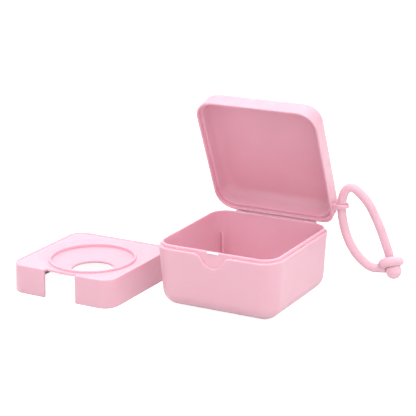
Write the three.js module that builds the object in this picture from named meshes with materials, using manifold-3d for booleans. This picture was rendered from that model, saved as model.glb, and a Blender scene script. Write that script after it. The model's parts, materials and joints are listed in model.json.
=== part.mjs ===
// Pacifier sterilizer case: a tub, a hinged lid with a carrying strap, and a loose insert tray.
// Millimetres, +Z up, +Y towards the hinge. The origin is the centre of the tub's underside.
import * as THREE from 'three';
import { mergeVertices } from 'three/addons/utils/BufferGeometryUtils.js';
import Module from 'manifold-3d';

const wasm = await Module();
wasm.setup();

// Plan outline that the tub and the lid share at their parting line
const caseHalf = 42.5;
const caseCorner = 12.9;

// Tub
const shoulderHeight = 38.9;
const tubDraft = 2.7; // how far the wall has come in at the foot
const footRadius = 9.7;
const tubFloor = 2.2;
const cavityDraft = 2.1;
const cavityFillet = 7.3;
const lipInset = 1.7;
const lipThickness = 1.3;
const lipHeight = 2.2;
const lipLeadIn = 0.4;

// Corner ribs that carry the tray above the water
const ribTop = 27;
const ribReach = 4.2;
const ribThickness = 1.2;
const ribDegrees = [45, 135, 225, 315];

// Thumb recess under the lid's front edge
const thumbHalfWidth = 13;
const thumbDepth = 8.3;
const thumbRadius = 8;

// Catch: a ridge on the lip, and the pocket that takes it inside the lid's rim
const catchWidth = 8.2;
const catchProud = 0.5;
const catchRise = 0.7;
const catchHeight = 1.4;
const catchUnderside = 0.3;
const pocketSideClearance = 0.4;
const pocketBeadDepth = 0.25;
const pocketBeadHeight = 0.6;
const pocketDepth = 0.55;

// Lid
const lidHeight = 16;
const lidDraft = 0.9;
const lidTopRadius = 7.4;
const lidTop = 2.2;
const lidCavityDraft = 0.8;
const lidCavityFillet = 5.4;
const seatGap = 0.3; // between the shoulder and the closed lid's rim
const lipClearance = 0.35;
const openDegrees = 67.8;

// Hinge
const hingeBack = 1.8; // axis behind the back wall
const hingeLift = 0.2; // axis above the shoulder
const barrelRadius = 1.9;
const barrelRelief = 0.3;
const gussetHeight = 5.5;
const gussetSink = 0.8;
const centreKnuckleHalf = 7.5;
const lidKnuckleLength = 12.2;
const outerKnuckleLength = 7.7;
const knuckleGap = 0.3;
const pinRadius = 1;
const pinClearance = 0.3;
const pinHeadRadius = 1.6;
const pinHeadLength = 0.8;

// Strap eyelet on the lid's right side
const eyeletSetback = 14.82; // in front of the hinge axis, lid closed
const eyeletRise = 4.35; // above the rim, lid closed
const eyeletOut = 5; // outside the side wall
const eyeletTiltDegrees = -25.2; // so that the hole stands upright when the lid is open
const eyeletRadius = 4.75;
const eyeletHole = 3.5;
const eyeletThickness = 2.6;
const eyeletRoot = 7;
const eyeletSink = 1.2;
const eyeletGusset = 3.2; // how much thicker the lug's hinge side is at its root
const eyeletGussetReach = 1.35; // how far past the hole's centre the extra thickness runs out
const eyeletCornerRadius = 8.5; // the lid's outer corner behind the eyelet is fuller than the others

// Strap
const cordRadius = 2.95;
const cordGap = 0.3;
const strapDegrees = 20; // the loop's upright plane, turned from +X towards +Y
const keeperRadius = 8.25;
const keeperThickness = 6.2;
const keeperHole = 3.5;
const keeperHoleRound = 0.6;
const keeperLeanDegrees = -25.3; // out of the loop's plane
const keeperTiltDegrees = -11.7; // in the loop's plane
const ballRadius = 5.1;
const neckLength = 5.8;

// Insert tray
const trayHalf = 38.2;
const trayCorner = 9.5;
const trayHeight = 19;
const trayFlare = 0.5; // how far the skirt's open edge stands out
const trayEdgeRound = 0.9;
const skirtThickness = 1.9;
const trayRimHeight = 0.6;
const trayRimWidth = 0.9;
const plateThickness = 1.6;
const dishRadius = 35.1;
const dishHole = 13.5;
const dishDepth = 8;
const dishThickness = 1.7;
const dishSkirtOverlap = 1.2;
const collarRadius = 28.05;
const collarThickness = 1;
const collarTopDrop = 0.7; // below the plate
const collarSink = 0.9;
const notchHalfWidth = 11.8;
const notchBack = 3.5;
const notchCorner = 1.2;
const trayX = -98.5;
const trayY = -24;
const trayDegrees = -0.6;

// Fineness of the curved faces
const cornerSteps = 8;
const filletSteps = 6;
const arcSteps = 10;
const roundSides = 28;
const dishSides = 56;
const cordSides = 10;
const cordSteps = 56;
const leastCornerShare = 0.01;
const overrun = 1;

// Places worked out from the sizes above
const lipTop = shoulderHeight + lipHeight;
const rimHeight = shoulderHeight + seatGap;
const hingeY = caseHalf + hingeBack;
const hingeZ = shoulderHeight + hingeLift;
const cavityInset = lipInset + lipThickness;
const rebateInset = lipInset - lipClearance;
const rebateDepth = lipHeight + lipClearance;
const plateTop = trayHeight - trayRimHeight;
const dishBottom = plateTop - dishDepth;

const radians = (degrees) => THREE.MathUtils.degToRad(degrees);

const pink = (name, colour, roughness) => new THREE.MeshStandardMaterial({
  name, color: colour, roughness, metalness: 0,
});
const polypropylene = pink('polypropylene', 0xf4bfd0, 0.45);
const silicone = pink('silicone', 0xfac8d8, 0.6);

// A triangle mesh as a solid that can be joined and cut
function solidOf(geometry) {
  const bare = geometry.clone();
  bare.deleteAttribute('normal');
  bare.deleteAttribute('uv');
  const merged = mergeVertices(bare);
  return new wasm.Manifold(new wasm.Mesh({
    numProp: 3,
    vertProperties: new Float32Array(merged.attributes.position.array),
    triVerts: new Uint32Array(merged.index.array),
  }));
}

function geometryOf(solid) {
  const mesh = solid.getMesh();
  const geometry = new THREE.BufferGeometry();
  geometry.setAttribute('position', new THREE.BufferAttribute(new Float32Array(mesh.vertProperties), 3));
  geometry.setIndex(new THREE.BufferAttribute(new Uint32Array(mesh.triVerts), 1));
  geometry.computeVertexNormals();
  return geometry;
}

function part(name, geometry, material) {
  const mesh = new THREE.Mesh(geometry, material);
  mesh.name = name;
  return mesh;
}

// One ring of a square with round corners, anticlockwise seen from above; its +X +Y corner may differ
function squareRing(half, corner, height, firstCorner = corner) {
  const ring = [];
  for (const [signX, signY, quarter] of [[1, 1, 0], [-1, 1, 1], [-1, -1, 2], [1, -1, 3]]) {
    const radius = Math.max(quarter === 0 ? firstCorner : corner, leastCornerShare * half);
    const centre = half - radius;
    for (let step = 0; step <= cornerSteps; step += 1) {
      const angle = (quarter + step / cornerSteps) * Math.PI / 2;
      const x = signX * centre + radius * Math.cos(angle);
      const y = signY * centre + radius * Math.sin(angle);
      ring.push(new THREE.Vector3(x, y, height));
    }
  }
  return ring;
}

// A solid whose levels are the plan outline drawn in by an inset, listed upwards as [inset, height]
function squareLoft(half, corner, levels, firstCorner = corner) {
  const rings = levels.map(([inset, height]) => (
    squareRing(half - inset, corner - inset, height, firstCorner - inset)
  ));
  const count = rings[0].length;
  const points = rings.flat();
  const faces = [];
  for (let level = 0; level + 1 < rings.length; level += 1) {
    for (let side = 0; side < count; side += 1) {
      const low = level * count + side;
      const lowNext = level * count + (side + 1) % count;
      faces.push(low, lowNext, lowNext + count, low, lowNext + count, low + count);
    }
  }
  const bottom = points.length;
  const top = bottom + 1;
  const topRing = (rings.length - 1) * count;
  points.push(new THREE.Vector3(0, 0, levels[0][1]));
  points.push(new THREE.Vector3(0, 0, levels[levels.length - 1][1]));
  for (let side = 0; side < count; side += 1) {
    const next = (side + 1) % count;
    faces.push(bottom, next, side, top, topRing + side, topRing + next);
  }
  const geometry = new THREE.BufferGeometry().setFromPoints(points);
  geometry.setIndex(faces);
  return solidOf(geometry);
}

// Levels of a round bottom edge: the wall's own inset is added by the caller's function of height
function bottomFillet(radius, floor, wallInset) {
  return Array.from({ length: filletSteps + 1 }, (_, step) => {
    const angle = step / filletSteps * Math.PI / 2;
    const height = floor + radius * (1 - Math.cos(angle));
    return [wallInset(height) + radius * (1 - Math.sin(angle)), height];
  });
}

function topFillet(radius, ceiling, wallInset) {
  return Array.from({ length: filletSteps + 1 }, (_, step) => {
    const angle = step / filletSteps * Math.PI / 2;
    const height = ceiling - radius * (1 - Math.sin(angle));
    return [wallInset(height) + radius * (1 - Math.cos(angle)), height];
  });
}

// A block along X from x0 to x1 whose section is a shape drawn in Y and Z
function alongX(shape, x0, x1) {
  const geometry = new THREE.ExtrudeGeometry(shape, {
    depth: x1 - x0, steps: 1, curveSegments: arcSteps, bevelEnabled: false,
  });
  geometry.applyMatrix4(new THREE.Matrix4().makeBasis(
    new THREE.Vector3(0, 1, 0), new THREE.Vector3(0, 0, 1), new THREE.Vector3(1, 0, 0),
  ));
  geometry.translate(x0, 0, 0);
  return solidOf(geometry);
}

// A block along Y from y0 to y1 whose section is a shape drawn in X and Z
function alongY(shape, y0, y1) {
  const geometry = new THREE.ExtrudeGeometry(shape, {
    depth: y1 - y0, steps: 1, curveSegments: arcSteps, bevelEnabled: false,
  });
  geometry.rotateX(Math.PI / 2);
  geometry.translate(0, y1, 0);
  return solidOf(geometry);
}

function alongZ(shape, z0, z1) {
  const geometry = new THREE.ExtrudeGeometry(shape, {
    depth: z1 - z0, steps: 1, curveSegments: arcSteps, bevelEnabled: false,
  });
  geometry.translate(0, 0, z0);
  return solidOf(geometry);
}

function polygon(points) {
  return new THREE.Shape(points.map(([across, up]) => new THREE.Vector2(across, up)));
}

function disc(centreAcross, centreUp, radius) {
  const shape = new THREE.Shape();
  shape.absarc(centreAcross, centreUp, radius, 0, 2 * Math.PI);
  return shape;
}

// A solid of revolution about Z from its [radius, height] profile
function turned(profile, sides) {
  const points = profile.map(([radius, height]) => new THREE.Vector2(radius, height));
  const geometry = new THREE.LatheGeometry(points, sides);
  geometry.rotateX(Math.PI / 2);
  return geometry;
}

function rodAlongX(radius, x0, x1) {
  return alongX(disc(hingeY, hingeZ, radius), x0, x1);
}

// Where the knuckles lie along the hinge, on the right half; the left half mirrors them
const lidKnuckleStart = centreKnuckleHalf + knuckleGap;
const lidKnuckleEnd = lidKnuckleStart + lidKnuckleLength;
const outerKnuckleStart = lidKnuckleEnd + knuckleGap;
const outerKnuckleEnd = outerKnuckleStart + outerKnuckleLength;
const tubKnuckles = [
  [-outerKnuckleEnd, -outerKnuckleStart],
  [-centreKnuckleHalf, centreKnuckleHalf],
  [outerKnuckleStart, outerKnuckleEnd],
];
const lidKnuckles = [
  [-lidKnuckleEnd, -lidKnuckleStart],
  [lidKnuckleStart, lidKnuckleEnd],
];

// A knuckle: a barrel with a gusset to the wall, below the axis on the tub and above it on the lid
function knuckle([x0, x1], side) {
  const wallY = caseHalf - gussetSink;
  const nearZ = side < 0 ? shoulderHeight - seatGap : rimHeight + seatGap;
  const gusset = polygon([
    [wallY, nearZ],
    [wallY, nearZ + side * gussetHeight],
    [caseHalf, nearZ + side * gussetHeight],
    [hingeY + barrelRadius, hingeZ],
    [hingeY, hingeZ],
  ]);
  return alongX(gusset, x0, x1).add(rodAlongX(barrelRadius, x0, x1));
}

function cutBarrelRoom(solid, knuckles) {
  return knuckles.reduce((left, [x0, x1]) => left.subtract(
    rodAlongX(barrelRadius + barrelRelief, x0 - knuckleGap, x1 + knuckleGap),
  ), solid);
}

function hingeBore() {
  return rodAlongX(pinRadius + pinClearance, -outerKnuckleEnd - overrun, outerKnuckleEnd + overrun);
}

const tubWallInset = (height) => tubDraft * (1 - height / shoulderHeight);
const cavityWallInset = (height) => cavityInset + cavityDraft * (1 - height / lipTop);

function tubOutside() {
  return squareLoft(caseHalf, caseCorner, [
    ...bottomFillet(footRadius, 0, tubWallInset),
    [0, shoulderHeight],
    [lipInset, shoulderHeight],
    [lipInset, lipTop],
  ]);
}

// Distance of the cavity's wall from the centre, measured on the plan's diagonal
function cavityDiagonal(height) {
  const inset = cavityWallInset(height);
  return (caseHalf - caseCorner) * Math.SQRT2 + caseCorner - inset;
}

function cornerRibs() {
  const inner = cavityDiagonal(ribTop) - ribReach;
  const outer = inner + ribReach + lipThickness;
  const halfThickness = ribThickness / 2;
  const plan = polygon([
    [inner, -halfThickness], [outer, -halfThickness], [outer, halfThickness], [inner, halfThickness],
  ]);
  const rib = alongZ(plan, tubFloor / 2, ribTop);
  return ribDegrees.map((turn) => rib.rotate([0, 0, turn])).reduce((all, one) => all.add(one));
}

function tubCavity() {
  const room = squareLoft(caseHalf, caseCorner, [
    ...bottomFillet(cavityFillet, tubFloor, cavityWallInset),
    [cavityWallInset(lipTop - lipLeadIn), lipTop - lipLeadIn],
    [cavityInset - lipLeadIn, lipTop],
    [cavityInset - lipLeadIn, lipTop + overrun],
  ]);
  return room.subtract(cornerRibs());
}

// The recess's edge: a round bottom that turns into flanks which run out level at the shoulder
function thumbRecess() {
  const reach = (thumbHalfWidth ** 2 + thumbDepth ** 2) / (2 * thumbDepth);
  const flankRadius = reach - thumbRadius;
  const bottomCentre = shoulderHeight - thumbDepth + thumbRadius;
  const flankCentre = shoulderHeight - flankRadius;
  const turn = Math.atan2(bottomCentre - flankCentre, thumbHalfWidth);
  const shape = new THREE.Shape();
  shape.moveTo(-thumbHalfWidth, shoulderHeight + overrun);
  shape.lineTo(-thumbHalfWidth, shoulderHeight);
  shape.absarc(-thumbHalfWidth, flankCentre, flankRadius, Math.PI / 2, turn, true);
  shape.absarc(0, bottomCentre, thumbRadius, Math.PI + turn, 2 * Math.PI - turn, false);
  shape.absarc(thumbHalfWidth, flankCentre, flankRadius, Math.PI - turn, Math.PI / 2, true);
  shape.lineTo(thumbHalfWidth, shoulderHeight + overrun);
  return alongY(shape, -caseHalf - overrun, lipInset - caseHalf);
}

function catchRidge() {
  const face = lipInset - caseHalf;
  const foot = shoulderHeight + catchRise;
  const section = polygon([
    [face + lipThickness / 2, foot],
    [face, foot],
    [face - catchProud, foot + catchUnderside],
    [face, foot + catchHeight],
    [face + lipThickness / 2, foot + catchHeight],
  ]);
  return alongX(section, -catchWidth / 2, catchWidth / 2);
}

function baseTub() {
  const shell = tubOutside().subtract(tubCavity()).subtract(thumbRecess()).add(catchRidge());
  const eased = cutBarrelRoom(shell, lidKnuckles);
  const hinged = tubKnuckles.reduce((left, span) => left.add(knuckle(span, -1)), eased);
  return part('base_tub', geometryOf(hinged.subtract(hingeBore())), polypropylene);
}

// Lid, drawn shut on the tub
const lidWallInset = (height) => lidDraft * (height - rimHeight) / lidHeight;
const lidCavityInset = (height) => cavityInset + lidCavityDraft * (height - rimHeight) / lidHeight;

function lidOutside() {
  return squareLoft(caseHalf, caseCorner, [
    [0, rimHeight],
    ...topFillet(lidTopRadius, rimHeight + lidHeight, lidWallInset),
  ], eyeletCornerRadius);
}

function lidCavity() {
  const ledge = rimHeight + rebateDepth;
  return squareLoft(caseHalf, caseCorner, [
    [rebateInset, rimHeight - overrun],
    [rebateInset, ledge],
    [lidCavityInset(ledge), ledge],
    ...topFillet(lidCavityFillet, rimHeight + lidHeight - lidTop, lidCavityInset),
  ]);
}

// The pocket has a shallow mouth, whose bead the ridge snaps under, and is deeper above it
function catchPocket() {
  const face = rebateInset - caseHalf;
  const half = catchWidth / 2 + pocketSideClearance;
  const section = polygon([
    [face + overrun, rimHeight - overrun],
    [face - pocketBeadDepth, rimHeight - overrun],
    [face - pocketBeadDepth, rimHeight + pocketBeadHeight],
    [face - pocketDepth, rimHeight + pocketBeadHeight + pocketBeadDepth],
    [face - pocketDepth, rimHeight + rebateDepth],
    [face + overrun, rimHeight + rebateDepth],
  ]);
  return alongX(section, -half, half);
}

const eyeletX = caseHalf + eyeletOut;
const eyeletY = hingeY - eyeletSetback;
const eyeletZ = rimHeight + eyeletRise;

// The lug is drawn square to the lid, thickest at its root, and then tilted about its hole's centre
function tiltedEyelet(solid) {
  const moved = solid.translate([0, -eyeletY, -eyeletZ]).rotate([eyeletTiltDegrees, 0, 0]);
  return moved.translate([0, eyeletY, eyeletZ]);
}

function eyeletLug() {
  const rootX = caseHalf - eyeletSink;
  const tipX = eyeletX + eyeletRadius + overrun;
  const halfRoot = eyeletRoot / 2;
  const halfThickness = eyeletThickness / 2;
  const lean = Math.acos(Math.min(1, (eyeletRadius - halfRoot) / eyeletOut));
  const outline = new THREE.Shape();
  outline.moveTo(rootX, eyeletZ - halfRoot);
  outline.absarc(eyeletX, eyeletZ, eyeletRadius, -Math.PI + lean, Math.PI - lean, false);
  outline.lineTo(rootX, eyeletZ + halfRoot);
  const slab = alongY(outline, eyeletY - halfThickness, eyeletY + halfThickness + eyeletGusset);
  const wedge = alongZ(polygon([
    [rootX, eyeletY - halfThickness],
    [tipX, eyeletY - halfThickness],
    [tipX, eyeletY + halfThickness],
    [eyeletX + eyeletGussetReach, eyeletY + halfThickness],
    [rootX, eyeletY + halfThickness + eyeletGusset],
  ]), eyeletZ - eyeletRadius - overrun, eyeletZ + eyeletRadius + overrun);
  return tiltedEyelet(slab.intersect(wedge));
}

function eyeletBore() {
  const half = eyeletThickness / 2 + overrun;
  const bore = alongY(disc(eyeletX, eyeletZ, eyeletHole), eyeletY - half, eyeletY + half + eyeletGusset);
  return tiltedEyelet(bore);
}

function lidShell() {
  const outside = lidOutside().add(eyeletLug());
  const shell = outside.subtract(lidCavity()).subtract(catchPocket()).subtract(eyeletBore());
  const eased = cutBarrelRoom(shell, tubKnuckles);
  const hinged = lidKnuckles.reduce((left, span) => left.add(knuckle(span, 1)), eased);
  return part('lid_shell', geometryOf(hinged.subtract(hingeBore())), polypropylene);
}

// The pin runs through every knuckle and has a low head at each end
function hingePin() {
  const end = outerKnuckleEnd + knuckleGap;
  const shank = rodAlongX(pinRadius, -end, end);
  const leftHead = rodAlongX(pinHeadRadius, -end - pinHeadLength, -end);
  const rightHead = rodAlongX(pinHeadRadius, end, end + pinHeadLength);
  return part('hinge_pin', geometryOf(shank.add(leftHead).add(rightHead)), polypropylene);
}

function trayShell() {
  const flare = (height) => -trayFlare * (1 - height / trayHeight);
  return squareLoft(trayHalf, trayCorner, [
    [flare(0) + trayEdgeRound, 0],
    [flare(0) + trayEdgeRound * (1 - Math.SQRT1_2), trayEdgeRound * (1 - Math.SQRT1_2)],
    [flare(trayEdgeRound), trayEdgeRound],
    [0, trayHeight],
  ]);
}

function trayUnderside() {
  return squareLoft(trayHalf, trayCorner, [
    [skirtThickness - trayFlare, -overrun],
    [skirtThickness, plateTop - plateThickness],
  ]);
}

function trayPocket() {
  return squareLoft(trayHalf, trayCorner, [
    [trayRimWidth, plateTop],
    [trayRimWidth, trayHeight + overrun],
  ]);
}

const dishSlope = dishDepth / (dishRadius - dishHole);
const dishHeight = (radius) => dishBottom + (radius - dishHole) * dishSlope;

function dishBlock() {
  const edge = dishRadius + dishSkirtOverlap;
  return solidOf(turned([
    [0, dishBottom - dishThickness],
    [dishHole, dishBottom - dishThickness],
    [edge, dishHeight(edge) - dishThickness],
    [edge, plateTop],
    [0, plateTop],
  ], dishSides));
}

function dishRoom() {
  return solidOf(turned([
    [0, dishBottom - dishThickness - overrun],
    [dishHole, dishBottom - dishThickness - overrun],
    [dishHole, dishBottom],
    [dishRadius, plateTop],
    [dishRadius, trayHeight + overrun],
    [0, trayHeight + overrun],
  ], dishSides));
}

function collar() {
  const inner = collarRadius - collarThickness;
  const foot = dishHeight(inner) - collarSink;
  const top = plateTop - collarTopDrop;
  return solidOf(turned([
    [inner, foot], [collarRadius, foot], [collarRadius, top], [inner, top], [inner, foot],
  ], dishSides));
}

function trayNotch() {
  const back = notchBack - trayHalf;
  const front = -trayHalf - trayFlare - overrun;
  const shape = new THREE.Shape();
  shape.moveTo(-notchHalfWidth, front);
  shape.lineTo(notchHalfWidth, front);
  shape.lineTo(notchHalfWidth, back - notchCorner);
  shape.absarc(notchHalfWidth - notchCorner, back - notchCorner, notchCorner, 0, Math.PI / 2, false);
  shape.absarc(notchCorner - notchHalfWidth, back - notchCorner, notchCorner, Math.PI / 2, Math.PI, false);
  return alongZ(shape, -overrun, trayHeight + overrun);
}

function insertTray() {
  const box = trayShell().subtract(trayUnderside()).subtract(trayPocket());
  const dished = box.add(dishBlock()).subtract(dishRoom()).add(collar());
  return part('insert_tray', geometryOf(dished.subtract(trayNotch())), polypropylene);
}

// Strap, from the eyelet's centre: x outwards in the loop's upright plane, y towards the hinge, z up
const keeperX = 31.9;
const keeperZ = -36.8;
const ballX = 33.8;
const ballY = -2.74;
const ballZ = -41.55;
const neckX = 23.7;
const neckZ = -40.9;
const keeperCentre = new THREE.Vector3(keeperX, 0, keeperZ);
const ballCentre = new THREE.Vector3(ballX, ballY, ballZ);
const keeperTurn = new THREE.Euler(radians(keeperLeanDegrees), radians(keeperTiltDegrees), 0, 'YXZ');

// The cord ends just short of the ball's flat
const ballFlatAngle = Math.asin(cordRadius / ballRadius);
const ballToKeeper = keeperCentre.clone().sub(ballCentre).normalize();
const cordEnd = ballCentre.clone().addScaledVector(
  ballToKeeper, ballRadius * Math.cos(ballFlatAngle) + cordGap,
);

// The cord's route, from the keeper's neck up through the eyelet, over and down through the keeper
const cordRoute = [
  new THREE.Vector3(neckX - cordGap, 0, neckZ),
  ...[
    [20.9, 0, -40.8], [18, 0, -39.75], [14.7, 0, -37.15], [11.8, 0, -34.3], [8.8, 0, -30.5],
    [6.2, 0, -26.1], [4, 0, -21.2], [2.3, 0, -16.2], [1.1, 0, -11.2], [0.3, 0, -6.2], [0, 0, -2.5],
    [0, 0, 0], [0.05, 0, 2.8], [0.7, 0, 6.4], [1.9, 0, 9.4], [3.8, 0, 11.5], [6, 0, 12.05],
    [8.2, 0, 11.2], [11.6, 0, 8.2], [14.8, 0, 4.7], [17.9, 0, 0.2], [21.1, 0, -6.2], [23.9, 0, -12.6],
    [26.4, 0, -19.1], [28.4, 0.35, -25.2], [29.5, 0.85, -28.6], [30.3, 1.15, -31.3], [31, 1.1, -34],
    [31.8, 0.1, -36.6],
  ].map(([x, y, z]) => new THREE.Vector3(x, y, z)),
  cordEnd,
];

function strapCord() {
  const route = new THREE.CatmullRomCurve3(cordRoute);
  const section = new THREE.Shape(Array.from({ length: cordSides }, (_, side) => {
    const angle = side / cordSides * 2 * Math.PI;
    return new THREE.Vector2(cordRadius * Math.cos(angle), cordRadius * Math.sin(angle));
  }));
  const geometry = new THREE.ExtrudeGeometry(section, { steps: cordSteps, extrudePath: route });
  return part('strap_cord', geometryOf(solidOf(geometry)), silicone);
}

// A thick ring with a round rim, and the short neck at its edge that the cord runs into
function strapKeeper() {
  const half = keeperThickness / 2;
  const rim = Array.from({ length: arcSteps + 1 }, (_, step) => {
    const angle = (step / arcSteps - 1 / 2) * Math.PI;
    return [keeperRadius - half * (1 - Math.cos(angle)), half * Math.sin(angle)];
  });
  const ring = turned([
    ...rim,
    [keeperHole + keeperHoleRound, half],
    [keeperHole, half - keeperHoleRound],
    [keeperHole, keeperHoleRound - half],
    [keeperHole + keeperHoleRound, -half],
    rim[0],
  ], roundSides);
  ring.applyMatrix4(new THREE.Matrix4().makeRotationFromEuler(keeperTurn));
  ring.translate(...keeperCentre);
  const neck = new THREE.CylinderGeometry(cordRadius, cordRadius, neckLength, cordSides);
  neck.rotateZ(Math.PI / 2);
  neck.translate(neckX + neckLength / 2, 0, neckZ);
  const ballRoom = new THREE.SphereGeometry(ballRadius + cordGap, roundSides, arcSteps);
  ballRoom.translate(...ballCentre);
  const cordRoom = turned([
    [0, -keeperThickness], [keeperHole, -keeperThickness],
    [keeperHole, keeperThickness], [0, keeperThickness],
  ], roundSides);
  cordRoom.applyMatrix4(new THREE.Matrix4().makeRotationFromEuler(keeperTurn));
  cordRoom.translate(...keeperCentre);
  const openNeck = solidOf(neck).subtract(solidOf(cordRoom));
  const joined = solidOf(ring).add(openNeck).subtract(solidOf(ballRoom));
  return part('strap_keeper', geometryOf(joined), silicone);
}

// The ball, with a flat where the cord meets it
function strapBall() {
  const profile = Array.from({ length: arcSteps + 1 }, (_, step) => {
    const angle = Math.PI - step / arcSteps * (Math.PI - ballFlatAngle);
    return [ballRadius * Math.sin(angle), ballRadius * Math.cos(angle)];
  });
  profile[0][0] = 0;
  const geometry = turned([...profile, [0, ballRadius * Math.cos(ballFlatAngle)]], roundSides);
  const mesh = part('strap_ball', geometryOf(solidOf(geometry)), silicone);
  mesh.position.copy(ballCentre);
  mesh.quaternion.setFromUnitVectors(new THREE.Vector3(0, 0, 1), ballToKeeper);
  return mesh;
}

// The lid turns with everything drawn on it about the hinge axis
const lidGroup = new THREE.Group();
lidGroup.position.set(0, hingeY, hingeZ);
lidGroup.rotation.x = -radians(openDegrees);
const lidMesh = lidShell();
lidMesh.position.set(0, -hingeY, -hingeZ);
lidGroup.add(lidMesh);

const trayGroup = new THREE.Group();
trayGroup.position.set(trayX, trayY, 0);
trayGroup.rotation.z = radians(trayDegrees);
trayGroup.add(insertTray());

// The strap hangs plumb from the eyelet of the open lid
const eyelet = new THREE.Vector3(0, eyeletY - hingeY, eyeletZ - hingeZ);
eyelet.applyAxisAngle(new THREE.Vector3(1, 0, 0), -radians(openDegrees));
const strapGroup = new THREE.Group();
strapGroup.position.set(eyeletX, hingeY + eyelet.y, hingeZ + eyelet.z);
strapGroup.rotation.z = radians(strapDegrees);
strapGroup.add(strapCord(), strapKeeper(), strapBall());

const pacifierCase = new THREE.Group();
pacifierCase.add(baseTub(), hingePin(), lidGroup, trayGroup, strapGroup);

export default pacifierCase;
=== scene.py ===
"""Pacifier sterilizer case: a moulded tub, a hinged lid with its strap, and a loose insert tray."""
import json
import math

import bmesh
import bpy
from mathutils import Matrix, Vector


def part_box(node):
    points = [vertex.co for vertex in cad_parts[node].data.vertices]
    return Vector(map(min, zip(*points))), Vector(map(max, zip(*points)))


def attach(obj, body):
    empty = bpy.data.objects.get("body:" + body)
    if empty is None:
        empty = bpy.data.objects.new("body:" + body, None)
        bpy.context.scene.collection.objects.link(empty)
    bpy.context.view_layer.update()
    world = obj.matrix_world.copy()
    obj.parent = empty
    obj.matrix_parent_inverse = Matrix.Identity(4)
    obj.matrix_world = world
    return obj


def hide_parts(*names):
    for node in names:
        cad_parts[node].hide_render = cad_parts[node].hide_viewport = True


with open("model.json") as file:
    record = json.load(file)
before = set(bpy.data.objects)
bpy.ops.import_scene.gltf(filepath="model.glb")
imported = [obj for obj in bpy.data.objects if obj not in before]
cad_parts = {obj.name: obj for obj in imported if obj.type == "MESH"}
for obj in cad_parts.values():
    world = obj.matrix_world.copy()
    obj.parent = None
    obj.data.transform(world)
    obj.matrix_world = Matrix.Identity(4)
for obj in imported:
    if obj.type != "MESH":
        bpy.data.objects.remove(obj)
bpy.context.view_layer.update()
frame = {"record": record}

MM = 0.001

# Sizes in millimetres, as the solids have them
CASE_HALF = 42.5
CASE_CORNER = 12.9

SHOULDER = 38.9
TUB_DRAFT = 2.7
FOOT_RADIUS = 9.7
TUB_FLOOR = 2.2
CAVITY_DRAFT = 2.1
CAVITY_FILLET = 7.3
LIP_INSET = 1.7
LIP_THICKNESS = 1.3
LIP_HEIGHT = 2.2
RIB_TOP = 27
RIB_REACH = 4.2
RIB_THICKNESS = 1.2
RIB_SINK = 0.7
RIB_SHARES = (1, 0.8, 0.6, 0.45, 0.35, 0.28, 0.22, 0.17, 0.13)
THUMB_HALF_WIDTH = 13
THUMB_DEPTH = 8.3
THUMB_RADIUS = 8
CATCH_WIDTH = 8.2
CATCH_PROUD = 0.5
CATCH_RISE = 0.7
CATCH_HEIGHT = 1.4
CATCH_UNDERSIDE = 0.3
CATCH_FLAT = 0.25
CATCH_EDGE = 0.12

LID_HEIGHT = 16
LID_DRAFT = 0.9
LID_TOP_RADIUS = 7.4
LID_TOP = 2.2
LID_CAVITY_DRAFT = 0.8
LID_CAVITY_FILLET = 5.4
SEAT_GAP = 0.3
REBATE_INSET = 1.35
REBATE_DEPTH = 2.55
POCKET_HALF = 4.5
POCKET_MOUTH = 0.25
POCKET_DEPTH = 0.55
POCKET_STEP = 0.85
POCKET_RAMP = 0.3
POCKET_SPARE = 0.1
POCKET_FLANK = 0.5
POCKET_STOPS = (1.5, 3, 3.8, 4.0, 4.1, 4.2, 4.3, 4.4, 4.5, 4.6, 4.8, 5.5)
RIM_STOPS = range(7, 28, 2)
REBATE_EDGE = 0.2

BARREL_RADIUS = 1.9
BARREL_ROOM = 2.2
GUSSET_HEIGHT = 5.5
GUSSET_SINK = 0.8
BARREL_NECK = 0.4
KNUCKLE_GAP = 0.3
BORE_RADIUS = 1.3
PIN_RADIUS = 1
PIN_HEAD_RADIUS = 1.6
PIN_HEAD_LENGTH = 0.8
TUB_KNUCKLES = ((-28, -20.3), (-7.5, 7.5), (20.3, 28))
LID_KNUCKLES = ((-20, -7.8), (7.8, 20))

EYELET_OUT = 5
EYELET_RISE = 4.35
EYELET_SETBACK = 14.82
EYELET_TILT = math.radians(-25.2)
EYELET_RADIUS = 4.75
EYELET_HOLE = 3.5
EYELET_THICKNESS = 2.6
EYELET_EDGE = 0.6
EYELET_ROOT = 7
EYELET_SINK = 1.2
EYELET_GUSSET = 3.2
EYELET_GUSSET_REACH = 1.35
EYELET_CORNER = 8.5
EYELET_FOOT = 0.1

TRAY_HALF = 38.2
TRAY_CORNER = 9.5
TRAY_HEIGHT = 19
TRAY_FLARE = 0.5
TRAY_FOOT_ROUND = 0.9
SKIRT = 1.9
TRAY_RIM_HEIGHT = 0.6
TRAY_RIM_WIDTH = 0.9
TRAY_RIM_EDGE = 0.3
TRAY_RIM_FOOT = 0.2
TRAY_RIM_MARGIN = 0.35
TRAY_EDGE = 0.5
SKIRT_START = 0.01
SKIRT_EDGE = 0.4
PLATE = 1.6
DISH_RADIUS = 35.1
DISH_HOLE = 13.5
DISH_DEPTH = 8
DISH_THICKNESS = 1.7
DISH_HOLE_EDGE = 0.5
DISH_BROW_INSIDE = ((-1.6, 0), (-1.0, -0.02), (-0.5, -0.05))
DISH_BROW_OUTSIDE = ((0, -0.1), (0.6, -0.02), (1.1, 0))
COLLAR_RADIUS = 28.05
COLLAR_THICKNESS = 1
COLLAR_DROP = 0.7
COLLAR_ROOT = 0.5
COLLAR_ROOT_RISE_INSIDE = 0.4
COLLAR_ROOT_RISE_OUTSIDE = 0.7
COLLAR_MARGIN = 0.7
NOTCH_HALF = 11.8
NOTCH_BACK = 3.5
NOTCH_CORNER = 1.2
NOTCH_EDGE = 0.3
NOTCH_SPARE = 0.1
TRAY_TURN = math.radians(-0.6)

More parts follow.
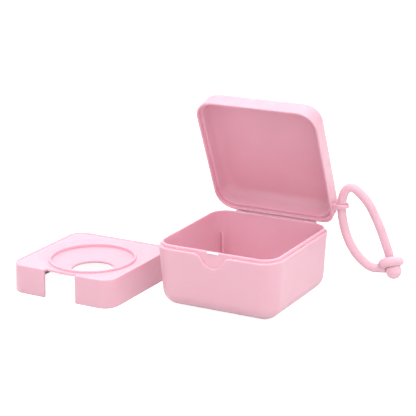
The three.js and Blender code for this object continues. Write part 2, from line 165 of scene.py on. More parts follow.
CORD_RADIUS = 2.95
CORD_GAP = 0.3
STRAP_TURN = math.radians(20)
KEEPER_RADIUS = 8.25
KEEPER_THICKNESS = 6.2
KEEPER_HOLE = 3.5
KEEPER_HOLE_ROUND = 0.6
KEEPER_LEAN = math.radians(-25.3)
KEEPER_TILT = math.radians(-11.7)
BALL_RADIUS = 5.1
NECK_LENGTH = 5.8

# Radii of the moulding's small edges
EDGE = 0.5
LIP_EDGE = 0.4
INNER_EDGE = 0.3

# Fineness
CORNER_STEPS = 18
FILLET_STEPS = 14
EDGE_STEPS = 4
CUT_EDGE_STEPS = 3
ROUND_PROFILE = 0.5
ROUND_STEPS = 64
BARREL_STEPS = 24
EYELET_STEPS = 40
EYELET_HOLE_STEPS = 48
KEEPER_STEPS = 20
KEEPER_HOLE_STEPS = 6
BALL_STEPS = 32
BALL_ROOM_SIDES = 48
NECK_STEPS = 8
ROUTE_STEPS = 6
TUBE_SIDES = 40
WALL_STEPS = 10
SHOULDER_STEPS = 3
LIP_STEPS = 4
CAVITY_STEPS = 12
LID_WALL_STEPS = 6
LEDGE_STEPS = 4
DISH_STEPS = 8
DISH_MARGIN_STEPS = 5
COLLAR_STEPS = 8
NOTCH_STEPS = 8
SKIRT_STEPS = 8
SIDE_STEP = 1.6
OVERRUN = 1

# Tolerances
TINY = 0.001
WELD = 0.02
FRONT_FACING = -0.999
SHARP_CUT = math.radians(40)
SMOOTH_BELOW = math.radians(38)

# Places worked out from the sizes
LIP_TOP = SHOULDER + LIP_HEIGHT
RIM = SHOULDER + SEAT_GAP
CAVITY_INSET = LIP_INSET + LIP_THICKNESS
PLATE_TOP = TRAY_HEIGHT - TRAY_RIM_HEIGHT
DISH_BOTTOM = PLATE_TOP - DISH_DEPTH
DISH_SLOPE = DISH_DEPTH / (DISH_RADIUS - DISH_HOLE)

joints = {joint["name"]: joint for joint in frame["record"]["behaviour"]["joints"]}
HINGE = Vector(joints["lid_hinge"]["pos_m"]) / MM
OPENING = math.radians(-joints["lid_hinge"]["range_deg"][0])
EYELET = Vector(joints["strap_swivel"]["pos_m"]) / MM

tray_low, tray_high = (Vector(corner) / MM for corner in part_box("insert_tray"))
TRAY_CENTRE = (tray_low + tray_high) / 2

# Camera, at the photograph's viewpoint
CAMERA_EYE = Vector((418.4, -794.8, 332.3)) * MM
CAMERA_AZIMUTH = math.radians(29.196)
CAMERA_ELEVATION = math.radians(16.976)
CAMERA_ROLL = math.radians(-0.651)
CAMERA_LENS = 130.24
SENSOR_WIDTH = 36
NEAR_CLIP = 0.05


def make_camera():
    data = bpy.data.cameras.new("camera")
    data.lens = CAMERA_LENS
    data.sensor_width = SENSOR_WIDTH
    data.clip_start = NEAR_CLIP
    camera = bpy.data.objects.new("camera", data)
    back = Vector((
        math.sin(CAMERA_AZIMUTH) * math.cos(CAMERA_ELEVATION),
        -math.cos(CAMERA_AZIMUTH) * math.cos(CAMERA_ELEVATION),
        math.sin(CAMERA_ELEVATION),
    ))
    level = Vector((math.cos(CAMERA_AZIMUTH), math.sin(CAMERA_AZIMUTH), 0))
    upright = back.cross(level)
    right = level * math.cos(CAMERA_ROLL) + upright * math.sin(CAMERA_ROLL)
    up = back.cross(right)
    turn = Matrix((right, up, back)).transposed()
    camera.matrix_world = Matrix.Translation(CAMERA_EYE) @ turn.to_4x4()
    bpy.context.scene.collection.objects.link(camera)
    bpy.context.scene.camera = camera


# Mesh helpers: everything is drawn in millimetres and scaled once, when its object is made
def arc(centre, radius, start, end, steps, stretch=1):
    """Points of a circular arc in a section, its second coordinate stretched about the centre."""
    points = []
    for step in range(steps + 1):
        angle = math.radians(start + (end - start) * step / steps)
        points.append((
            centre[0] + radius * math.cos(angle),
            centre[1] + radius * math.sin(angle) * stretch,
        ))
    return points


def between(start, end, steps):
    """The inner points of a straight run from start to end."""
    return [
        tuple(a + (b - a) * step / steps for a, b in zip(start, end))
        for step in range(1, steps)
    ]


def even_stops(reach):
    count = max(2, round(2 * reach / SIDE_STEP))
    return [-reach + 2 * reach * step / count for step in range(count + 1)]


def plan(half, corner, front_stops=None):
    """A rounded square's core points with their outward normals, anticlockwise from the +X side."""
    core = half - corner
    samples = []
    for side in range(4):
        angle = side * math.pi / 2
        normal = Vector((round(math.cos(angle)), round(math.sin(angle))))
        along = Vector((-normal.y, normal.x))
        stops = front_stops if front_stops and normal.y < 0 else even_stops(core)
        for stop in stops:
            samples.append((normal * core + along * stop, normal))
        for step in range(1, CORNER_STEPS):
            turn = step / CORNER_STEPS * math.pi / 2
            outward = normal * math.cos(turn) + along * math.sin(turn)
            samples.append(((normal + along) * core, outward))
    return samples


def skin(rings, poles=True):
    """A mesh through rings of equal length, closed at two poles or with its rings in a loop."""
    mesh = bmesh.new()
    count = len(rings[0])
    verts = [[mesh.verts.new(point) for point in ring] for ring in rings]
    pairs = list(zip(verts, verts[1:]))
    if not poles:
        pairs.append((verts[-1], verts[0]))
    for low, high in pairs:
        for side in range(count):
            after = (side + 1) % count
            mesh.faces.new((low[side], low[after], high[after], high[side]))
    if poles:
        for ring in (verts[0], verts[-1]):
            middle = sum((vert.co for vert in ring), Vector()) / count
            pole = mesh.verts.new(middle)
            for side in range(count):
                mesh.faces.new((ring[side], ring[(side + 1) % count], pole))
    bmesh.ops.recalc_face_normals(mesh, faces=mesh.faces)
    return mesh


def square_rings(samples, corner, profiles, tight_corner=0, tight_levels=0):
    """Rings of a rounded square, one section profile of (inset, height) points to each sample.

    The +X +Y corner has a radius of its own in the first levels.
    """
    rings = []
    for level in range(len(profiles[0])):
        ring = []
        for (core, normal), profile in zip(samples, profiles):
            inset, height = profile[level]
            radius = corner
            if level < tight_levels and min(normal) > TINY:
                radius = tight_corner
                core = core + Vector((corner - radius, corner - radius))
            ring.append((core + normal * (radius - inset)).to_3d() + Vector((0, 0, height)))
        rings.append(ring)
    return rings


def slab(outline, holes, thickness, edge):
    """A plate in the XY plane about z 0 from a flat outline with holes, its edges rounded."""
    curve = bpy.data.curves.new("outline", "CURVE")
    curve.dimensions = "2D"
    curve.fill_mode = "BOTH"
    curve.extrude = thickness / 2 - edge
    curve.bevel_depth = edge
    curve.bevel_resolution = EDGE_STEPS - 1
    curve.offset = -edge
    for points in (outline, *holes):
        spline = curve.splines.new("POLY")
        spline.points.add(len(points) - 1)
        for place, (across, up) in zip(spline.points, points):
            place.co = (across, up, 0, 1)
        spline.use_cyclic_u = True
    carrier = bpy.data.objects.new("outline", curve)
    made = bpy.data.meshes.new_from_object(carrier)
    mesh = bmesh.new()
    mesh.from_mesh(made)
    bpy.data.objects.remove(carrier)
    bpy.data.curves.remove(curve)
    bpy.data.meshes.remove(made)
    bmesh.ops.remove_doubles(mesh, verts=mesh.verts, dist=TINY)
    bmesh.ops.recalc_face_normals(mesh, faces=mesh.faces)
    return mesh


def lathe(profile, closed=False, sides=ROUND_STEPS):
    """A solid of revolution about Z: its (radius, height) points end on the axis or form a loop."""
    mesh = bmesh.new()
    rings = []
    for radius, height in profile:
        if radius < TINY:
            rings.append([mesh.verts.new((0, 0, height))])
            continue
        ring = []
        for side in range(sides):
            angle = side / sides * 2 * math.pi
            place = (radius * math.cos(angle), radius * math.sin(angle), height)
            ring.append(mesh.verts.new(place))
        rings.append(ring)
    pairs = list(zip(rings, rings[1:]))
    if closed:
        pairs.append((rings[-1], rings[0]))
    for low, high in pairs:
        for side in range(sides):
            after = (side + 1) % sides
            if len(low) == 1:
                mesh.faces.new((low[0], high[after], high[side]))
            elif len(high) == 1:
                mesh.faces.new((low[side], low[after], high[0]))
            else:
                mesh.faces.new((low[side], low[after], high[after], high[side]))
    bmesh.ops.recalc_face_normals(mesh, faces=mesh.faces)
    return mesh


def tube(route, radii, sides=TUBE_SIDES):
    """A round tube along a route, with no twist between its sections and a flat at each end."""
    mesh = bmesh.new()
    rings = []
    across = (route[1] - route[0]).orthogonal()
    for index, (point, radius) in enumerate(zip(route, radii)):
        after = route[min(index + 1, len(route) - 1)]
        tangent = (after - route[max(index - 1, 0)]).normalized()
        across = (across - tangent * across.dot(tangent)).normalized()
        other = tangent.cross(across)
        ring = []
        for side in range(sides):
            angle = side / sides * 2 * math.pi
            outward = across * math.cos(angle) + other * math.sin(angle)
            ring.append(mesh.verts.new(point + outward * radius))
        rings.append(ring)
    for low, high in zip(rings, rings[1:]):
        for side in range(sides):
            after = (side + 1) % sides
            mesh.faces.new((low[side], low[after], high[after], high[side]))
    for ring in (rings[0], rings[-1]):
        mesh.faces.new(ring)
    bmesh.ops.recalc_face_normals(mesh, faces=mesh.faces)
    return mesh


def turned_mesh(mesh, matrix):
    bmesh.ops.transform(mesh, matrix=matrix, verts=mesh.verts)
    return mesh


def scratch_object(mesh):
    data = bpy.data.meshes.new("scratch")
    mesh.to_mesh(data)
    mesh.free()
    holder = bpy.data.objects.new("scratch", data)
    bpy.context.scene.collection.objects.link(holder)
    return holder


def combined(base, others, operation):
    """The base mesh joined with the others, or with the others cut out of it."""
    holder = scratch_object(base)
    tools = [scratch_object(other) for other in others]
    for tool in tools:
        modifier = holder.modifiers.new("combine", "BOOLEAN")
        modifier.operation = operation
        modifier.solver = "MANIFOLD"
        modifier.object = tool
    graph = bpy.context.evaluated_depsgraph_get()
    result = bmesh.new()
    result.from_mesh(bpy.data.meshes.new_from_object(holder.evaluated_get(graph)))
    for spent in (holder, *tools):
        data = spent.data
        bpy.data.objects.remove(spent)
        bpy.data.meshes.remove(data)
    return result


def ease_cut(mesh, width, region):
    """Rounds the sharp outer edges that a cut left inside a region."""
    sharp = [
        edge for edge in mesh.edges
        if len(edge.link_faces) == 2
        and edge.calc_face_angle_signed(0) > SHARP_CUT
        and all(region(vert.co) for vert in edge.verts)
    ]
    bmesh.ops.bevel(
        mesh, geom=sharp, offset=width, offset_type="OFFSET", segments=CUT_EDGE_STEPS,
        profile=ROUND_PROFILE, affect="EDGES", clamp_overlap=False,
    )
    bmesh.ops.remove_doubles(mesh, verts=mesh.verts, dist=WELD)
    bmesh.ops.recalc_face_normals(mesh, faces=mesh.faces)
    return mesh


def piece(name, mesh, material, body, slot, *nodes):
    """An object in metres with its material, riding on a body in place of its solids."""
    bmesh.ops.scale(mesh, vec=Vector((MM, MM, MM)), verts=mesh.verts)
    data = bpy.data.meshes.new(name)
    mesh.to_mesh(data)
    mesh.free()
    data.shade_smooth()
    data.set_sharp_from_angle(angle=SMOOTH_BELOW)
    made = bpy.data.objects.new(name, data)
    bpy.context.scene.collection.objects.link(made)
    data.materials.append(material)
    normals = made.modifiers.new("normals", "WEIGHTED_NORMAL")
    normals.keep_sharp = True
    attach(made, body)
    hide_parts(*nodes)
    return made


# Materials
PINK = (0.79, 0.47, 0.555)
PINK_DEEP = (0.775, 0.455, 0.54)
SILICONE_PINK = (0.81, 0.515, 0.595)
SILICONE_DEEP = (0.795, 0.50, 0.58)
# The paler pinks below are a painted highlight for the catch ridge, not a colour the plastic has
HIGHLIGHT_PINK = (0.95, 0.86, 0.89)
HIGHLIGHT_DEEP = (0.93, 0.80, 0.84)
PLASTIC_ROUGHNESS = 0.42
PLASTIC_SCATTER = 0.9
PLASTIC_GRAIN = 2600
# Gloss and scatter of the catch's painted-highlight material
HIGHLIGHT_ROUGHNESS = 0.36
HIGHLIGHT_SCATTER = 0.4
SILICONE_ROUGHNESS = 0.55
SILICONE_SCATTER = 0.9
SILICONE_GRAIN = 1800
DRIFT_SCALE = 38
DRIFT_DETAIL = 3
DRIFT_BAND = (0.35, 0.65)
HANDLING_SCALE = 160
HANDLING_DETAIL = 5
HANDLING_BAND = (0.3, 0.7)
GLOSS_SPREAD = (-0.05, 0.06)
GRAIN_DETAIL = 2
GRAIN_STRENGTH = 0.12
GRAIN_DEPTH = 0.00004
SCATTER_RADIUS = (1.0, 0.9, 0.93)
SCATTER_DEPTH = 0.002
PLASTIC_IOR = 1.49


def noise(nodes, links, place, scale, detail):
    made = nodes.new("ShaderNodeTexNoise")
    made.inputs["Scale"].default_value = scale
    made.inputs["Detail"].default_value = detail
    links.new(place.outputs["Object"], made.inputs["Vector"])
    return made.outputs["Fac"]


def moulded_plastic(name, base, deep, roughness, scatter, grain):
    """Pale moulded plastic: colour and gloss drift slowly, and light enters its grained skin."""
    material = bpy.data.materials.new(name)
    material.use_nodes = True
    nodes = material.node_tree.nodes
    links = material.node_tree.links
    shader = nodes["Principled BSDF"]
    place = nodes.new("ShaderNodeTexCoord")

    colours = nodes.new("ShaderNodeValToRGB")
    for element, share, colour in zip(colours.color_ramp.elements, DRIFT_BAND, (deep, base)):
        element.position = share
        element.color = (*colour, 1)
    links.new(noise(nodes, links, place, DRIFT_SCALE, DRIFT_DETAIL), colours.inputs["Fac"])
    links.new(colours.outputs["Color"], shader.inputs["Base Color"])

    gloss = nodes.new("ShaderNodeMapRange")
    gloss.inputs["From Min"].default_value = HANDLING_BAND[0]
    gloss.inputs["From Max"].default_value = HANDLING_BAND[1]
    gloss.inputs["To Min"].default_value = roughness + GLOSS_SPREAD[0]
    gloss.inputs["To Max"].default_value = roughness + GLOSS_SPREAD[1]
    links.new(noise(nodes, links, place, HANDLING_SCALE, HANDLING_DETAIL), gloss.inputs["Value"])
    links.new(gloss.outputs["Result"], shader.inputs["Roughness"])

    bump = nodes.new("ShaderNodeBump")
    bump.inputs["Strength"].default_value = GRAIN_STRENGTH
    bump.inputs["Distance"].default_value = GRAIN_DEPTH
    links.new(noise(nodes, links, place, grain, GRAIN_DETAIL), bump.inputs["Height"])
    links.new(bump.outputs["Normal"], shader.inputs["Normal"])

    shader.inputs["Subsurface Weight"].default_value = scatter
    shader.inputs["Subsurface Radius"].default_value = SCATTER_RADIUS
    shader.inputs["Subsurface Scale"].default_value = SCATTER_DEPTH
    shader.inputs["IOR"].default_value = PLASTIC_IOR
    return material


plastic = moulded_plastic(
    "pp_pink", PINK, PINK_DEEP, PLASTIC_ROUGHNESS, PLASTIC_SCATTER, PLASTIC_GRAIN,
)
# The catch's material: its paler colour is a painted highlight
painted_highlight = moulded_plastic(
    "pp_painted_highlight", HIGHLIGHT_PINK, HIGHLIGHT_DEEP, HIGHLIGHT_ROUGHNESS, HIGHLIGHT_SCATTER,
    PLASTIC_GRAIN,
)
rubber = moulded_plastic(
    "silicone_pink", SILICONE_PINK, SILICONE_DEEP, SILICONE_ROUGHNESS, SILICONE_SCATTER,
    SILICONE_GRAIN,
)


# Tub
def tub_wall_inset(height):
    return TUB_DRAFT * (1 - height / SHOULDER)


def tub_cavity_inset(height):
    return CAVITY_INSET + CAVITY_DRAFT * (1 - height / LIP_TOP)


THUMB_REACH = (THUMB_HALF_WIDTH ** 2 + THUMB_DEPTH ** 2) / (2 * THUMB_DEPTH)
FLANK_RADIUS = THUMB_REACH - THUMB_RADIUS
THUMB_CENTRE = SHOULDER - THUMB_DEPTH + THUMB_RADIUS
FLANK_CENTRE = SHOULDER - FLANK_RADIUS
THUMB_TURN = math.atan2(THUMB_CENTRE - FLANK_CENTRE, THUMB_HALF_WIDTH)


def thumb_edge(x):
    """Height and slope angle of the front shoulder, which dips into the thumb recess."""
    away = abs(x)
    if away >= THUMB_HALF_WIDTH:
        return SHOULDER, 0
    if away >= THUMB_RADIUS * math.cos(THUMB_TURN):
        angle = math.asin((THUMB_HALF_WIDTH - away) / FLANK_RADIUS)
        return FLANK_CENTRE + FLANK_RADIUS * math.cos(angle), angle
    angle = math.asin(away / THUMB_RADIUS)
    return THUMB_CENTRE - THUMB_RADIUS * math.cos(angle), angle


def thumb_stops():
    """Stops along the front edge, spaced by the turn of the recess's outline."""
    core = CASE_HALF - CASE_CORNER
    steepest = math.pi / 2 - THUMB_TURN
    bottom = [
        THUMB_RADIUS * math.sin(steepest * step / FILLET_STEPS) for step in range(FILLET_STEPS + 1)
    ]
    flank = [
        THUMB_HALF_WIDTH - FLANK_RADIUS * math.sin(steepest * (1 - step / FILLET_STEPS))
        for step in range(1, FILLET_STEPS + 1)
    ]
    outside = [
        THUMB_HALF_WIDTH + (core - THUMB_HALF_WIDTH) * step / WALL_STEPS
        for step in range(1, WALL_STEPS + 1)
    ]
    right = bottom[1:] + flank + outside
    return [-stop for stop in reversed(right)] + [0] + right


def tub_profile(shoulder, slope):
    """Section of the tub from its underside, over the shoulder and the lip, to its floor."""
    stretch = 1 / math.cos(slope)
    foot = [
        (tub_wall_inset(height) + inset, height)
        for inset, height in arc((FOOT_RADIUS, FOOT_RADIUS), FOOT_RADIUS, 270, 180, FILLET_STEPS)
    ]
    edge_drop = EDGE * stretch
    edge_inset = tub_wall_inset(shoulder - edge_drop)
    edge = arc((edge_inset + EDGE, shoulder - edge_drop), EDGE, 180, 90, EDGE_STEPS, stretch)
    corner = arc((LIP_INSET - INNER_EDGE, shoulder + INNER_EDGE), INNER_EDGE, 270, 360, EDGE_STEPS)
    lip_out = arc((LIP_INSET + LIP_EDGE, LIP_TOP - LIP_EDGE), LIP_EDGE, 180, 90, EDGE_STEPS)
    lip_in = arc((CAVITY_INSET - LIP_EDGE, LIP_TOP - LIP_EDGE), LIP_EDGE, 90, 0, EDGE_STEPS)
    fillet = [
        (tub_cavity_inset(height) + inset, height)
        for inset, height in arc(
            (CAVITY_FILLET, TUB_FLOOR + CAVITY_FILLET), CAVITY_FILLET, 180, 270, FILLET_STEPS,
        )
    ]
    wall_run = between(foot[-1], edge[0], WALL_STEPS)
    wall_run = [(tub_wall_inset(height), height) for _, height in wall_run]
    cavity_run = between(lip_in[-1], fillet[0], CAVITY_STEPS)
    return (
        foot + wall_run + edge + between(edge[-1], corner[0], SHOULDER_STEPS) + corner
        + between(corner[-1], lip_out[0], LIP_STEPS) + lip_out + lip_in + cavity_run + fillet
    )


def knuckle(span, side):
    """A hinge knuckle along X: a barrel with a gusset, above the axis (side 1) or below it (-1)."""
    near = BARREL_NECK
    foot = (CASE_HALF - HINGE.y, near + GUSSET_HEIGHT)
    bearing = math.atan2(foot[1], foot[0])
    start = math.degrees(bearing - math.acos(BARREL_RADIUS / math.hypot(*foot)))
    end = math.degrees(math.pi - math.asin(near / BARREL_RADIUS)) - 360
    wall = foot[0] - GUSSET_SINK
    barrel = arc((0, 0), BARREL_RADIUS, start, end, BARREL_STEPS)
    outline = [foot, *barrel, (wall, near), (wall, foot[1])]
    bore = arc((0, 0), BORE_RADIUS, 0, 360, BARREL_STEPS)[:-1]
    mesh = slab(outline, [bore], span[1] - span[0], INNER_EDGE)
    upright = Matrix(((0, 0, 1, 0), (1, 0, 0, 0), (0, side, 0, 0), (0, 0, 0, 1)))
    turned_mesh(mesh, Matrix.Translation((sum(span) / 2, HINGE.y, HINGE.z)) @ upright)
    bmesh.ops.recalc_face_normals(mesh, faces=mesh.faces)
    return mesh


def barrel_room(span):
    """The cut that lets the other half's barrel turn against a wall."""
    mesh = bmesh.new()
    length = span[1] - span[0] + 2 * KNUCKLE_GAP
    bmesh.ops.create_cone(
        mesh, cap_ends=True, segments=ROUND_STEPS, depth=length,
        radius1=BARREL_ROOM, radius2=BARREL_ROOM,
    )
    place = Matrix.Translation((sum(span) / 2, HINGE.y, HINGE.z))
    return turned_mesh(mesh, place @ Matrix.Rotation(math.pi / 2, 4, "Y"))


def corner_ribs():
    """Four thin ribs on the diagonals; each stops inside the wall's thickness."""
    diagonal = (CASE_HALF - CASE_CORNER) * math.sqrt(2) + CASE_CORNER

    def cavity_reach(height):
        inset = tub_cavity_inset(height)
        rise = height - TUB_FLOOR
        if rise < CAVITY_FILLET:
            inset += CAVITY_FILLET - math.sqrt(CAVITY_FILLET ** 2 - (CAVITY_FILLET - rise) ** 2)
        return diagonal - inset

    inner = cavity_reach(RIB_TOP) - RIB_REACH
    heights = [RIB_TOP * share for share in RIB_SHARES]
    outline = [(inner, TUB_FLOOR + RIB_SINK), (inner, RIB_TOP)]
    outline += [(cavity_reach(height) + RIB_SINK, height) for height in heights]
    ribs = []
    for quarter in range(4):
        mesh = slab(outline, [], RIB_THICKNESS, INNER_EDGE)
        turned_mesh(mesh, Matrix.Rotation(math.pi / 2, 4, "X"))
        turned_mesh(mesh, Matrix.Rotation(math.pi / 4 + quarter * math.pi / 2, 4, "Z"))
        ribs.append(mesh)
    return ribs


def catch_ridge():
    face = LIP_INSET - CASE_HALF
    foot = SHOULDER + CATCH_RISE
    inside = face + LIP_THICKNESS / 2
    nose = face - CATCH_PROUD
    outline = [
        (inside, foot),
        (face, foot),
        (nose, foot + CATCH_UNDERSIDE),
        (nose, foot + CATCH_UNDERSIDE + CATCH_FLAT),
        (face, foot + CATCH_HEIGHT),
        (inside, foot + CATCH_HEIGHT),
    ]
    mesh = slab(outline, [], CATCH_WIDTH, CATCH_EDGE)
    upright = Matrix(((0, 0, 1, 0), (1, 0, 0, 0), (0, 1, 0, 0), (0, 0, 0, 1)))
    return turned_mesh(mesh, upright)


def make_tub():
    samples = plan(CASE_HALF, CASE_CORNER, thumb_stops())
    profiles = []
    for core, normal in samples:
        level = thumb_edge(core.x) if normal.y < FRONT_FACING else (SHOULDER, 0)
        profiles.append(tub_profile(*level))
    shell = skin(square_rings(samples, CASE_CORNER, profiles))
    shell = combined(shell, [barrel_room(span) for span in LID_KNUCKLES], "DIFFERENCE")
    fittings = [knuckle(span, -1) for span in TUB_KNUCKLES] + corner_ribs()
    shell = combined(shell, fittings, "UNION")
    return piece("tub", shell, plastic, "base", "polypropylene", "base_tub")


def make_catch():
    """The snap ridge on the lip, in a paler pink that paints the highlight on its sloped face."""
    return piece("catch", catch_ridge(), painted_highlight, "base", "polypropylene", "base_tub")


def make_pin():
    end = TUB_KNUCKLES[-1][1] + KNUCKLE_GAP
    head = end + PIN_HEAD_LENGTH
    flat = PIN_HEAD_RADIUS - INNER_EDGE
    half = [(PIN_RADIUS, 0), (PIN_RADIUS, end - INNER_EDGE), (flat, end)]
    half += arc((flat, end + INNER_EDGE), INNER_EDGE, 270, 360, EDGE_STEPS)[1:]
    half += arc((flat, head - INNER_EDGE), INNER_EDGE, 0, 90, EDGE_STEPS)
    half.append((0, head))
    profile = [(radius, -height) for radius, height in reversed(half)] + half[1:]
    mesh = lathe(profile)
    turned_mesh(mesh, Matrix.Rotation(math.pi / 2, 4, "Y"))
    turned_mesh(mesh, Matrix.Translation((0, HINGE.y, HINGE.z)))
    return piece("pin", mesh, plastic, "base", "polypropylene", "hinge_pin")


# Lid, drawn shut and then turned open
def lid_wall_inset(height):
    return LID_DRAFT * (height - RIM) / LID_HEIGHT


def lid_cavity_inset(height):
    return CAVITY_INSET + LID_CAVITY_DRAFT * (height - RIM) / LID_HEIGHT


def lid_outer_profile():
    """Section of the lid's outside from its top to its rim."""
    centre = (LID_TOP_RADIUS, RIM + LID_HEIGHT - LID_TOP_RADIUS)
    crown = [
        (lid_wall_inset(height) + inset, height)
        for inset, height in arc(centre, LID_TOP_RADIUS, 90, 180, FILLET_STEPS)
    ]
    edge = arc((EDGE, RIM + EDGE), EDGE, 180, 270, EDGE_STEPS)
    return crown + between(crown[-1], edge[0], LID_WALL_STEPS) + edge


def lid_inner_profile(pocket):
    """Section of the lid's inside from its rim, over the rebate, to its ceiling."""
    mouth = REBATE_INSET - pocket * POCKET_MOUTH
    deep = REBATE_INSET - pocket * POCKET_DEPTH
    ledge = RIM + REBATE_DEPTH
    inner = arc((mouth - REBATE_EDGE, RIM + REBATE_EDGE), REBATE_EDGE, 270, 360, EDGE_STEPS)
    step = [
        (mouth, RIM + POCKET_STEP - POCKET_RAMP),
        (deep, RIM + POCKET_STEP),
        (deep, ledge - REBATE_EDGE),
        (deep + REBATE_EDGE, ledge),
    ]
    wall = lid_cavity_inset(ledge) - INNER_EDGE
    seat = between((deep, ledge), (wall, ledge), LEDGE_STEPS)
    turn = arc((wall, ledge + INNER_EDGE), INNER_EDGE, 270, 360, EDGE_STEPS)
    centre = (LID_CAVITY_FILLET, RIM + LID_HEIGHT - LID_TOP - LID_CAVITY_FILLET)
    fillet = [
        (lid_cavity_inset(height) + inset, height)
        for inset, height in arc(centre, LID_CAVITY_FILLET, 180, 90, FILLET_STEPS)
    ]
    return inner + step + seat + turn + between(turn[-1], fillet[0], LID_WALL_STEPS) + fillet


def lid_stops():
    """Stops along the front edge, close together at the catch pocket's flanks."""
    right = [*POCKET_STOPS, *RIM_STOPS, CASE_HALF - CASE_CORNER]
    return [-stop for stop in reversed(right)] + [0] + right


def eyelet_lug():
    """The strap's lug, thicker towards its root and tilted about its hole's centre.

    Its foot ends above the rim where it would stand on the tub's shoulder with the lid shut.
    """
    root = -EYELET_OUT - EYELET_SINK
    half = EYELET_ROOT / 2
    lean = math.degrees(math.acos((EYELET_RADIUS - half) / EYELET_OUT))
    outline = [(root, -half)]
    outline += arc((0, 0), EYELET_RADIUS, lean - 180, 180 - lean, EYELET_STEPS)
    outline.append((root, half))
    hole = arc((0, 0), EYELET_HOLE, 0, 360, EYELET_HOLE_STEPS)[:-1]
    mesh = slab(outline, [hole], EYELET_THICKNESS, EYELET_EDGE)
    for vert in mesh.verts:
        run = max(0, (EYELET_GUSSET_REACH - vert.co.x) / (EYELET_GUSSET_REACH - root))
        vert.co.z -= EYELET_GUSSET * run * (0.5 - vert.co.z / EYELET_THICKNESS)
    turned_mesh(mesh, Matrix.Rotation(math.pi / 2 + EYELET_TILT, 4, "X"))
    place = Vector((CASE_HALF + EYELET_OUT, HINGE.y - EYELET_SETBACK, RIM + EYELET_RISE))
    turned_mesh(mesh, Matrix.Translation(place))
    for vert in mesh.verts:
        if vert.co.x < CASE_HALF:
            vert.co.z = max(vert.co.z, RIM + EYELET_FOOT)
    return mesh


def make_lid():
    samples = plan(CASE_HALF, CASE_CORNER, lid_stops())
    outside = lid_outer_profile()
    profiles = []
    for core, normal in samples:
        pocket = 0
        if normal.y < FRONT_FACING:
            inside = POCKET_HALF + POCKET_SPARE - abs(core.x)
            pocket = min(1, max(0, inside / POCKET_FLANK))
        profiles.append(outside + lid_inner_profile(pocket))
    shell = skin(square_rings(samples, CASE_CORNER, profiles, EYELET_CORNER, len(outside)))
    shell = combined(shell, [barrel_room(span) for span in TUB_KNUCKLES], "DIFFERENCE")
    shell = combined(shell, [knuckle(span, 1) for span in LID_KNUCKLES] + [eyelet_lug()], "UNION")
    about = Matrix.Translation(HINGE)
    opened = about @ Matrix.Rotation(-OPENING, 4, "X") @ about.inverted()
    turned_mesh(shell, opened)
    return piece("lid", shell, plastic, "lid", "polypropylene", "lid_shell")


# Insert tray
def dish_height(radius):
    return DISH_BOTTOM + (radius - DISH_HOLE) * DISH_SLOPE


def on_dish(radius):
    return radius, dish_height(radius)


def tray_levels():
    """The tray's closed section, by radius where it is round and by inset where it is square."""
    levels = []

    def rounds(points):
        levels.extend(("round", *point) for point in points)

    def squares(points):
        levels.extend(("square", *point) for point in points)

    mouth = DISH_HOLE + DISH_HOLE_EDGE
    rounds(arc((mouth, DISH_BOTTOM - DISH_HOLE_EDGE), DISH_HOLE_EDGE, 180, 110, EDGE_STEPS))
    inner = COLLAR_RADIUS - COLLAR_THICKNESS
    root = inner - COLLAR_ROOT
    rounds(between(on_dish(mouth), on_dish(root), DISH_STEPS))
    rise = dish_height(inner) + COLLAR_ROOT_RISE_INSIDE
    rounds(arc((root, rise), COLLAR_ROOT, 290, 360, EDGE_STEPS))
    half = COLLAR_THICKNESS / 2
    crest = PLATE_TOP - COLLAR_DROP - half
    rounds(arc((COLLAR_RADIUS - half, crest), half, 180, 0, COLLAR_STEPS))
    rise = dish_height(COLLAR_RADIUS) + COLLAR_ROOT_RISE_OUTSIDE
    rounds(arc((COLLAR_RADIUS + COLLAR_ROOT, rise), COLLAR_ROOT, 180, 290, EDGE_STEPS))
    brow = DISH_RADIUS + DISH_BROW_INSIDE[0][0]
    rounds(between(on_dish(COLLAR_RADIUS + COLLAR_MARGIN), on_dish(brow), DISH_MARGIN_STEPS))
    for out, rise in DISH_BROW_INSIDE:
        rounds([(DISH_RADIUS + out, dish_height(DISH_RADIUS + out) + rise)])
    for out, rise in DISH_BROW_OUTSIDE:
        rounds([(DISH_RADIUS + out, PLATE_TOP + rise)])

    foot = (TRAY_RIM_WIDTH + TRAY_RIM_FOOT, PLATE_TOP + TRAY_RIM_FOOT)
    top = (TRAY_RIM_WIDTH - TRAY_RIM_EDGE, TRAY_HEIGHT - TRAY_RIM_EDGE)
    squares([(TRAY_RIM_WIDTH + TRAY_RIM_MARGIN, PLATE_TOP)])
    squares(arc(foot, TRAY_RIM_FOOT, 270, 180, EDGE_STEPS))
    squares(arc(top, TRAY_RIM_EDGE, 0, 90, EDGE_STEPS))
    squares(arc((TRAY_EDGE, TRAY_HEIGHT - TRAY_EDGE), TRAY_EDGE, 90, 180, EDGE_STEPS))
    start = (SKIRT_START, TRAY_HEIGHT - TRAY_EDGE)
    end = (-TRAY_FLARE * (1 - TRAY_FOOT_ROUND / TRAY_HEIGHT), TRAY_FOOT_ROUND)
    squares(between(start, end, WALL_STEPS))
    round_centre = (end[0] + TRAY_FOOT_ROUND, TRAY_FOOT_ROUND)
    squares(arc(round_centre, TRAY_FOOT_ROUND, 180, 270, EDGE_STEPS + 2))
    inner_foot = SKIRT - TRAY_FLARE
    squares(arc((inner_foot - SKIRT_EDGE, SKIRT_EDGE), SKIRT_EDGE, 270, 360, EDGE_STEPS))
    under = PLATE_TOP - PLATE
    squares(between((inner_foot, SKIRT_EDGE), (SKIRT, under - TRAY_EDGE), SKIRT_STEPS))
    squares(arc((SKIRT + TRAY_EDGE, under - TRAY_EDGE), TRAY_EDGE, 180, 90, EDGE_STEPS))

    meet = DISH_HOLE + (under + DISH_THICKNESS - DISH_BOTTOM) / DISH_SLOPE
    low = DISH_BOTTOM - DISH_THICKNESS
    rounds([(meet, under)])
    rounds(between((meet, under), (DISH_HOLE, low), DISH_STEPS))
    rounds(arc((mouth, low + DISH_HOLE_EDGE), DISH_HOLE_EDGE, 250, 180, EDGE_STEPS))
    return levels


